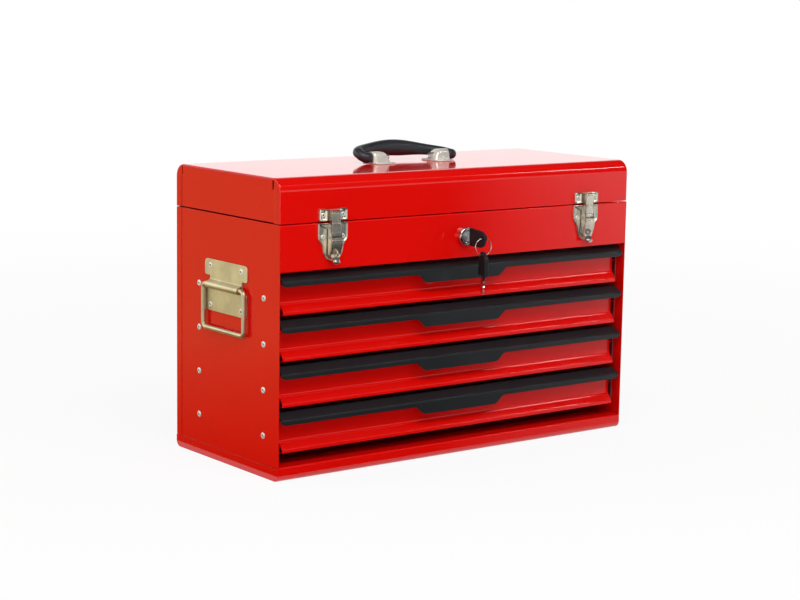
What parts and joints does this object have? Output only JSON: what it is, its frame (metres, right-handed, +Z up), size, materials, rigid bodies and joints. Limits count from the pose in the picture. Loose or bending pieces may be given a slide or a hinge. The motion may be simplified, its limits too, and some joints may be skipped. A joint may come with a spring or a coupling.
{
  "type": "portable tool box with drawers",
  "caption": "Portable sheet-steel tool box: hinged lid over a till, stacked ball-bearing drawers, draw latches, key lock, folding carry handle and side bails.",
  "frame": {"origin": "on the floor under the middle of the box", "axes": "+X to the right along the width, the drawers open towards -Y, +Z up"},
  "size_m": [0.5386, 0.2722, 0.3652],
  "materials": {
    "red_enamel": "gloss enamel",
    "zinc_plate": "zinc plated",
    "chrome_plate": "polished",
    "nickel_plate": "nickel plated",
    "yellow_zinc": "yellow zinc plated",
    "black_plastic": "moulded",
    "black_pull": "satin extrusion"
  },
  "bodies": {
    "case": {"base_pan": "red_enamel", "side_panel_left": "red_enamel", "side_panel_right": "red_enamel", "back_panel": "red_enamel", "front_rail": "red_enamel", "till_floor": "red_enamel", "slide_rails_left": "zinc_plate", "slide_rails_right": "zinc_plate", "slide_rivets": "zinc_plate", "hinge_leaf_case": "zinc_plate", "hinge_pin": "zinc_plate", "lock_housing": "chrome_plate", "lock_nut": "chrome_plate", "latch_base_left": "nickel_plate", "latch_base_right": "nickel_plate", "latch_rivets": "nickel_plate", "latch_pins": "nickel_plate", "side_handle_plate_left": "yellow_zinc", "side_handle_plate_right": "yellow_zinc", "side_handle_rivets": "chrome_plate"},
    "lid": {"lid_wrap": "red_enamel", "lid_end_left": "red_enamel", "lid_end_right": "red_enamel", "lid_striker": "zinc_plate", "hinge_leaf_lid": "zinc_plate", "handle_brackets": "chrome_plate", "lid_rivets": "chrome_plate", "latch_keepers": "nickel_plate"},
    "carry_handle": {"handle_grip": "black_plastic", "handle_pins": "chrome_plate"},
    "bail_left": {"bail_left": "yellow_zinc"},
    "bail_right": {"bail_right": "yellow_zinc"},
    "latch_lever_left": {"latch_lever_left": "nickel_plate"},
    "latch_lever_right": {"latch_lever_right": "nickel_plate"},
    "latch_claw_left": {"latch_claw_left": "nickel_plate"},
    "latch_claw_right": {"latch_claw_right": "nickel_plate"},
    "lock_plug": {"lock_plug": "chrome_plate", "lock_cam": "zinc_plate"},
    "key": {"key_blade": "chrome_plate", "key_head": "black_plastic"},
    "key_ring": {"key_ring": "chrome_plate"},
    "spare_key": {"spare_key": "black_plastic"},
    "drawer_1": {"drawer_1_tray": "red_enamel", "drawer_1_front": "red_enamel", "drawer_1_pull": "black_pull"},
    "ball_cages_1": {"drawer_1_cages": "zinc_plate"},
    "drawer_2": {"drawer_2_tray": "red_enamel", "drawer_2_front": "red_enamel", "drawer_2_pull": "black_pull"},
    "ball_cages_2": {"drawer_2_cages": "zinc_plate"},
    "drawer_3": {"drawer_3_tray": "red_enamel", "drawer_3_front": "red_enamel", "drawer_3_pull": "black_pull"},
    "ball_cages_3": {"drawer_3_cages": "zinc_plate"},
    "drawer_4": {"drawer_4_tray": "red_enamel", "drawer_4_front": "red_enamel", "drawer_4_pull": "black_pull"},
    "ball_cages_4": {"drawer_4_cages": "zinc_plate"}
  },
  "joints": [
    {"name": "lid_hinge", "type": "hinge", "parent": "case", "child": "lid", "pos_m": [0, 0.1128, 0.2895], "axis": [-1, 0, 0], "range_deg": [0, 95]},
    {"name": "carry_handle_swing", "type": "hinge", "parent": "lid", "child": "carry_handle", "pos_m": [0, 0, 0.3473], "axis": [1, 0, 0], "range_deg": [0, 151]},
    {"name": "bail_left_swing", "type": "hinge", "parent": "case", "child": "bail_left", "pos_m": [-0.26465, 0, 0.207], "axis": [0, 1, 0], "range_deg": [0, 90]},
    {"name": "bail_right_swing", "type": "hinge", "parent": "case", "child": "bail_right", "pos_m": [0.26465, 0, 0.207], "axis": [0, -1, 0], "range_deg": [0, 90]},
    {"name": "latch_lever_left_swing", "type": "hinge", "parent": "case", "child": "latch_lever_left", "pos_m": [-0.19, -0.1152, 0.285], "axis": [-1, 0, 0], "range_deg": [0, 105]},
    {"name": "latch_claw_left_swing", "type": "hinge", "parent": "latch_lever_left", "child": "latch_claw_left", "pos_m": [-0.19, -0.1158, 0.2775], "axis": [-1, 0, 0], "range_deg": [-105, 0]},
    {"name": "latch_lever_right_swing", "type": "hinge", "parent": "case", "child": "latch_lever_right", "pos_m": [0.19, -0.1152, 0.285], "axis": [-1, 0, 0], "range_deg": [0, 105]},
    {"name": "latch_claw_right_swing", "type": "hinge", "parent": "latch_lever_right", "child": "latch_claw_right", "pos_m": [0.19, -0.1158, 0.2775], "axis": [-1, 0, 0], "range_deg": [-105, 0]},
    {"name": "lock_turn", "type": "hinge", "parent": "case", "child": "lock_plug", "pos_m": [0, -0.11, 0.2617], "axis": [0, 1, 0], "range_deg": [0, 90]},
    {"name": "key_slide", "type": "slide", "parent": "lock_plug", "child": "key", "axis": [0, -1, 0], "range_m": [0, 0.035]},
    {"name": "key_ring_swing", "type": "hinge", "parent": "key", "child": "key_ring", "pos_m": [0, -0.145, 0.2622], "axis": [-0.9563, 0.2924, 0], "range_deg": [-15, 60]},
    {"name": "spare_key_swing", "type": "hinge", "parent": "key_ring", "child": "spare_key", "pos_m": [0, -0.145, 0.2426], "axis": [-0.9563, 0.2924, 0], "range_deg": [-15, 60]},
    {"name": "drawer_1_slide", "type": "slide", "parent": "case", "child": "drawer_1", "axis": [0, -1, 0], "range_m": [0, 0.15], "deforming": ["spare_key"]},
    {"name": "ball_cages_1_slide", "type": "slide", "parent": "case", "child": "ball_cages_1", "axis": [0, -1, 0], "range_m": [0, 0.075]},
    {"name": "drawer_2_slide", "type": "slide", "parent": "case", "child": "drawer_2", "axis": [0, -1, 0], "range_m": [0, 0.15]},
    {"name": "ball_cages_2_slide", "type": "slide", "parent": "case", "child": "ball_cages_2", "axis": [0, -1, 0], "range_m": [0, 0.075]},
    {"name": "drawer_3_slide", "type": "slide", "parent": "case", "child": "drawer_3", "axis": [0, -1, 0], "range_m": [0, 0.15]},
    {"name": "ball_cages_3_slide", "type": "slide", "parent": "case", "child": "ball_cages_3", "axis": [0, -1, 0], "range_m": [0, 0.075]},
    {"name": "drawer_4_slide", "type": "slide", "parent": "case", "child": "drawer_4", "axis": [0, -1, 0], "range_m": [0, 0.15]},
    {"name": "ball_cages_4_slide", "type": "slide", "parent": "case", "child": "ball_cages_4", "axis": [0, -1, 0], "range_m": [0, 0.075]}
  ],
  "couplings": [
    {"joint": "latch_claw_left_swing", "follows": "latch_lever_left_swing", "ratio": -1},
    {"joint": "latch_claw_right_swing", "follows": "latch_lever_right_swing", "ratio": -1},
    {"joint": "ball_cages_1_slide", "follows": "drawer_1_slide", "ratio": 0.5},
    {"joint": "ball_cages_2_slide", "follows": "drawer_2_slide", "ratio": 0.5},
    {"joint": "ball_cages_3_slide", "follows": "drawer_3_slide", "ratio": 0.5},
    {"joint": "ball_cages_4_slide", "follows": "drawer_4_slide", "ratio": 0.5}
  ]
}
